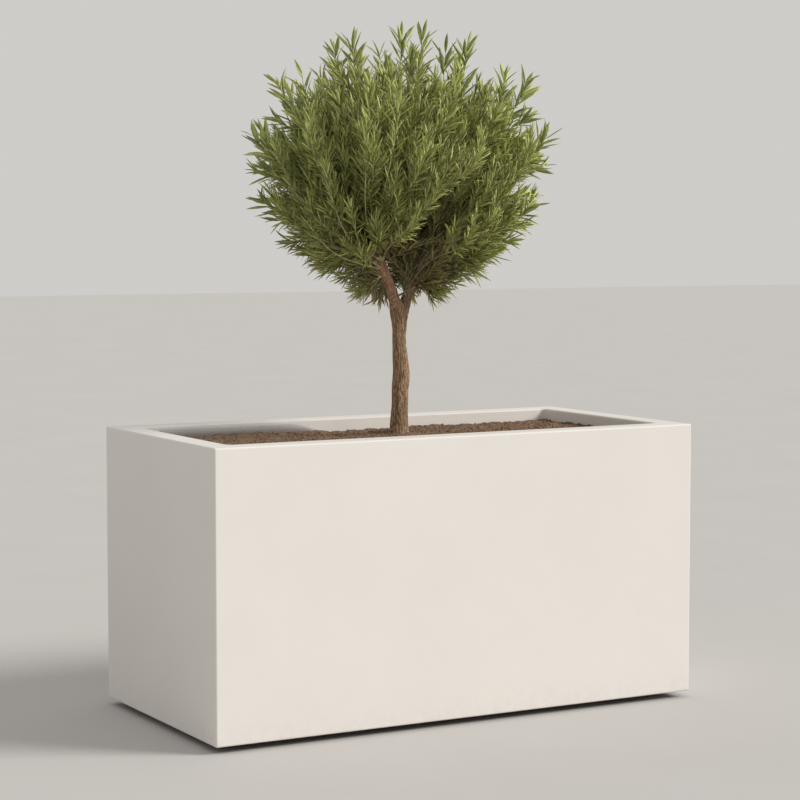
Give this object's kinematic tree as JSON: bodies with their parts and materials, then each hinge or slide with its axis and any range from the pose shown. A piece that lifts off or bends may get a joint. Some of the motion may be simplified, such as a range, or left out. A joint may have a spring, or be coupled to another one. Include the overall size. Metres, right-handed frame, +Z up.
{
  "type": "planter",
  "caption": "Tall rectangular floor planter with a plain moulded shell, inward rim, levelling feet and a lift-out liner holding soil and a small round-headed tree.",
  "frame": {"origin": "on the floor under the middle of the planter", "axes": "+X along the planter's length, left to right seen from the front; -Y faces the front; +Z up"},
  "size_m": [1.2, 0.7012, 1.534],
  "materials": {
    "shell": "fine matt gel coat",
    "panel": "film-faced plywood",
    "cleats": "sawn softwood",
    "screws": "stainless",
    "bushes": "moulded",
    "inserts": "turned",
    "pads": "moulded",
    "stems": "zinc plated",
    "ledge": "mill",
    "liner": "moulded",
    "mat": "pressed sheet",
    "fleece": "needled felt",
    "soil": "loose crumbs",
    "bark": "fissured bark",
    "leaves": "satin leaves"
  },
  "bodies": {
    "planter": {"base_cleat_back": "cleats", "base_cleat_front": "cleats", "base_cleat_left": "cleats", "base_cleat_right": "cleats", "base_panel": "panel", "base_screws": "screws", "bearer_left": "ledge", "bearer_middle": "ledge", "bearer_right": "ledge", "drain_bush_1": "bushes", "drain_bush_2": "bushes", "drain_bush_3": "bushes", "drain_bush_4": "bushes", "foot_insert_back_left": "inserts", "foot_insert_back_right": "inserts", "foot_insert_front_left": "inserts", "foot_insert_front_right": "inserts", "ledge_post_back_left": "ledge", "ledge_post_back_middle": "ledge", "ledge_post_back_right": "ledge", "ledge_post_front_left": "ledge", "ledge_post_front_middle": "ledge", "ledge_post_front_right": "ledge", "ledge_rail_back": "ledge", "ledge_rail_front": "ledge", "shell": "shell"},
    "planting": {"liner": "liner", "drainage_mat": "mat", "filter_fleece": "fleece", "soil": "soil", "root_ball": "soil", "tree_trunk": "bark", "tree_crown": "leaves"},
    "pad_front_left": {"foot_pad_front_left": "pads"},
    "stem_front_left": {"foot_stem_front_left": "stems"},
    "pad_front_right": {"foot_pad_front_right": "pads"},
    "stem_front_right": {"foot_stem_front_right": "stems"},
    "pad_back_left": {"foot_pad_back_left": "pads"},
    "stem_back_left": {"foot_stem_back_left": "stems"},
    "pad_back_right": {"foot_pad_back_right": "pads"},
    "stem_back_right": {"foot_stem_back_right": "stems"}
  },
  "joints": [
    {"name": "liner_lift", "type": "slide", "parent": "planter", "child": "planting", "axis": [0, 0, 1], "range_m": [0, 0.36]},
    {"name": "foot_travel_front_left", "type": "slide", "parent": "planter", "child": "pad_front_left", "axis": [0, 0, -1], "range_m": [-0.0045, 0.012]},
    {"name": "foot_turn_front_left", "type": "hinge", "parent": "pad_front_left", "child": "stem_front_left", "pos_m": [-0.52, -0.215, 0.007], "axis": [0, 0, -1], "range_deg": [-1081, 2881]},
    {"name": "foot_travel_front_right", "type": "slide", "parent": "planter", "child": "pad_front_right", "axis": [0, 0, -1], "range_m": [-0.0045, 0.012]},
    {"name": "foot_turn_front_right", "type": "hinge", "parent": "pad_front_right", "child": "stem_front_right", "pos_m": [0.52, -0.215, 0.007], "axis": [0, 0, -1], "range_deg": [-1081, 2881]},
    {"name": "foot_travel_back_left", "type": "slide", "parent": "planter", "child": "pad_back_left", "axis": [0, 0, -1], "range_m": [-0.0045, 0.012]},
    {"name": "foot_turn_back_left", "type": "hinge", "parent": "pad_back_left", "child": "stem_back_left", "pos_m": [-0.52, 0.215, 0.007], "axis": [0, 0, -1], "range_deg": [-1081, 2881]},
    {"name": "foot_travel_back_right", "type": "slide", "parent": "planter", "child": "pad_back_right", "axis": [0, 0, -1], "range_m": [-0.0045, 0.012]},
    {"name": "foot_turn_back_right", "type": "hinge", "parent": "pad_back_right", "child": "stem_back_right", "pos_m": [0.52, 0.215, 0.007], "axis": [0, 0, -1], "range_deg": [-1081, 2881]}
  ],
  "couplings": [
    {"joint": "foot_turn_front_left", "follows": "foot_travel_front_left", "rad_per_m": 4188.8},
    {"joint": "foot_turn_front_right", "follows": "foot_travel_front_right", "rad_per_m": 4188.8},
    {"joint": "foot_turn_back_left", "follows": "foot_travel_back_left", "rad_per_m": 4188.8},
    {"joint": "foot_turn_back_right", "follows": "foot_travel_back_right", "rad_per_m": 4188.8}
  ]
}
